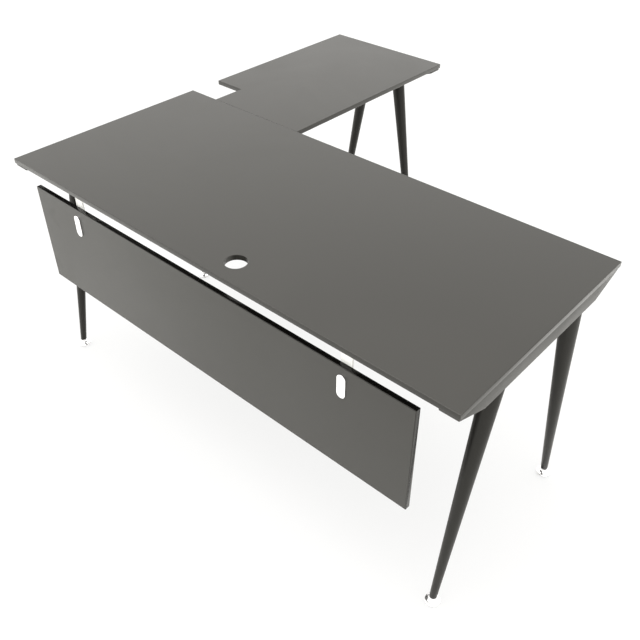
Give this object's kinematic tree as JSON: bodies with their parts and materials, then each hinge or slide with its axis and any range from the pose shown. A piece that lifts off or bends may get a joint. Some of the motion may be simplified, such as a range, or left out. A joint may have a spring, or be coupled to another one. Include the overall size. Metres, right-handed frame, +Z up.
{
  "type": "corner desk",
  "caption": "L-shaped office desk with a long main top, a shorter return top, bevelled end rails, splayed conical legs on levelling feet and a hung modesty panel.",
  "frame": {"origin": "on the floor, at the middle of the footprint's bounding rectangle, cover plates included", "axes": "+X along the main top, away from the return's side; +Y from the visitor's side towards the return; +Z up"},
  "size_m": [1.6, 1.504, 0.755],
  "materials": {
    "board": "matt warm-grey melamine with a fine grain, on particle board",
    "edging": "satin edge band in the board's colour",
    "powder_coat": "fine-textured dark grey powder coat",
    "white_coat": "smooth satin white powder coat",
    "chrome": "polished",
    "zinc": "bright zinc plate",
    "sole": "matt"
  },
  "bodies": {
    "root": {"main_top": "board", "return_top": "board", "modesty_panel": "board", "main_top_edging": "edging", "return_top_edging": "edging", "modesty_panel_edging": "edging", "panel_hanger_left": "white_coat", "panel_hanger_right": "white_coat", "panel_cover_left": "chrome", "panel_cover_right": "chrome", "panel_nuts": "zinc", "hanger_screws": "zinc", "beam_bolts": "zinc", "beam_nuts": "zinc", "rivet_nuts": "zinc", "joint_plates": "zinc", "top_screws": "zinc", "leg_top_inserts": "zinc", "leg_spreader_plates": "zinc", "leg_bolts": "zinc", "leg_end_plugs": "zinc", "end_rail_left": "powder_coat", "end_rail_right": "powder_coat", "return_end_rail": "powder_coat", "front_beam": "powder_coat", "rear_beam": "powder_coat", "return_beam_left": "powder_coat", "return_beam_right": "powder_coat", "leg_front_left": "powder_coat", "leg_front_right": "powder_coat", "leg_rear_left": "powder_coat", "leg_rear_right": "powder_coat", "leg_return_left": "powder_coat", "leg_return_right": "powder_coat"},
    "foot_front_left": {"pad_front_left": "chrome", "stud_front_left": "zinc", "sole_front_left": "sole"},
    "foot_front_right": {"pad_front_right": "chrome", "stud_front_right": "zinc", "sole_front_right": "sole"},
    "foot_rear_left": {"pad_rear_left": "chrome", "stud_rear_left": "zinc", "sole_rear_left": "sole"},
    "foot_rear_right": {"pad_rear_right": "chrome", "stud_rear_right": "zinc", "sole_rear_right": "sole"},
    "foot_return_left": {"pad_return_left": "chrome", "stud_return_left": "zinc", "sole_return_left": "sole"},
    "foot_return_right": {"pad_return_right": "chrome", "stud_return_right": "zinc", "sole_return_right": "sole"}
  },
  "joints": [
    {"name": "foot_height_front_left", "type": "slide", "parent": "root", "child": "foot_front_left", "axis": [0, 0, -1], "range_m": [0, 0.012]},
    {"name": "foot_height_front_right", "type": "slide", "parent": "root", "child": "foot_front_right", "axis": [0, 0, -1], "range_m": [0, 0.012]},
    {"name": "foot_height_rear_left", "type": "slide", "parent": "root", "child": "foot_rear_left", "axis": [0, 0, -1], "range_m": [0, 0.012]},
    {"name": "foot_height_rear_right", "type": "slide", "parent": "root", "child": "foot_rear_right", "axis": [0, 0, -1], "range_m": [0, 0.012]},
    {"name": "foot_height_return_left", "type": "slide", "parent": "root", "child": "foot_return_left", "axis": [0, 0, -1], "range_m": [0, 0.012]},
    {"name": "foot_height_return_right", "type": "slide", "parent": "root", "child": "foot_return_right", "axis": [0, 0, -1], "range_m": [0, 0.012]}
  ]
}
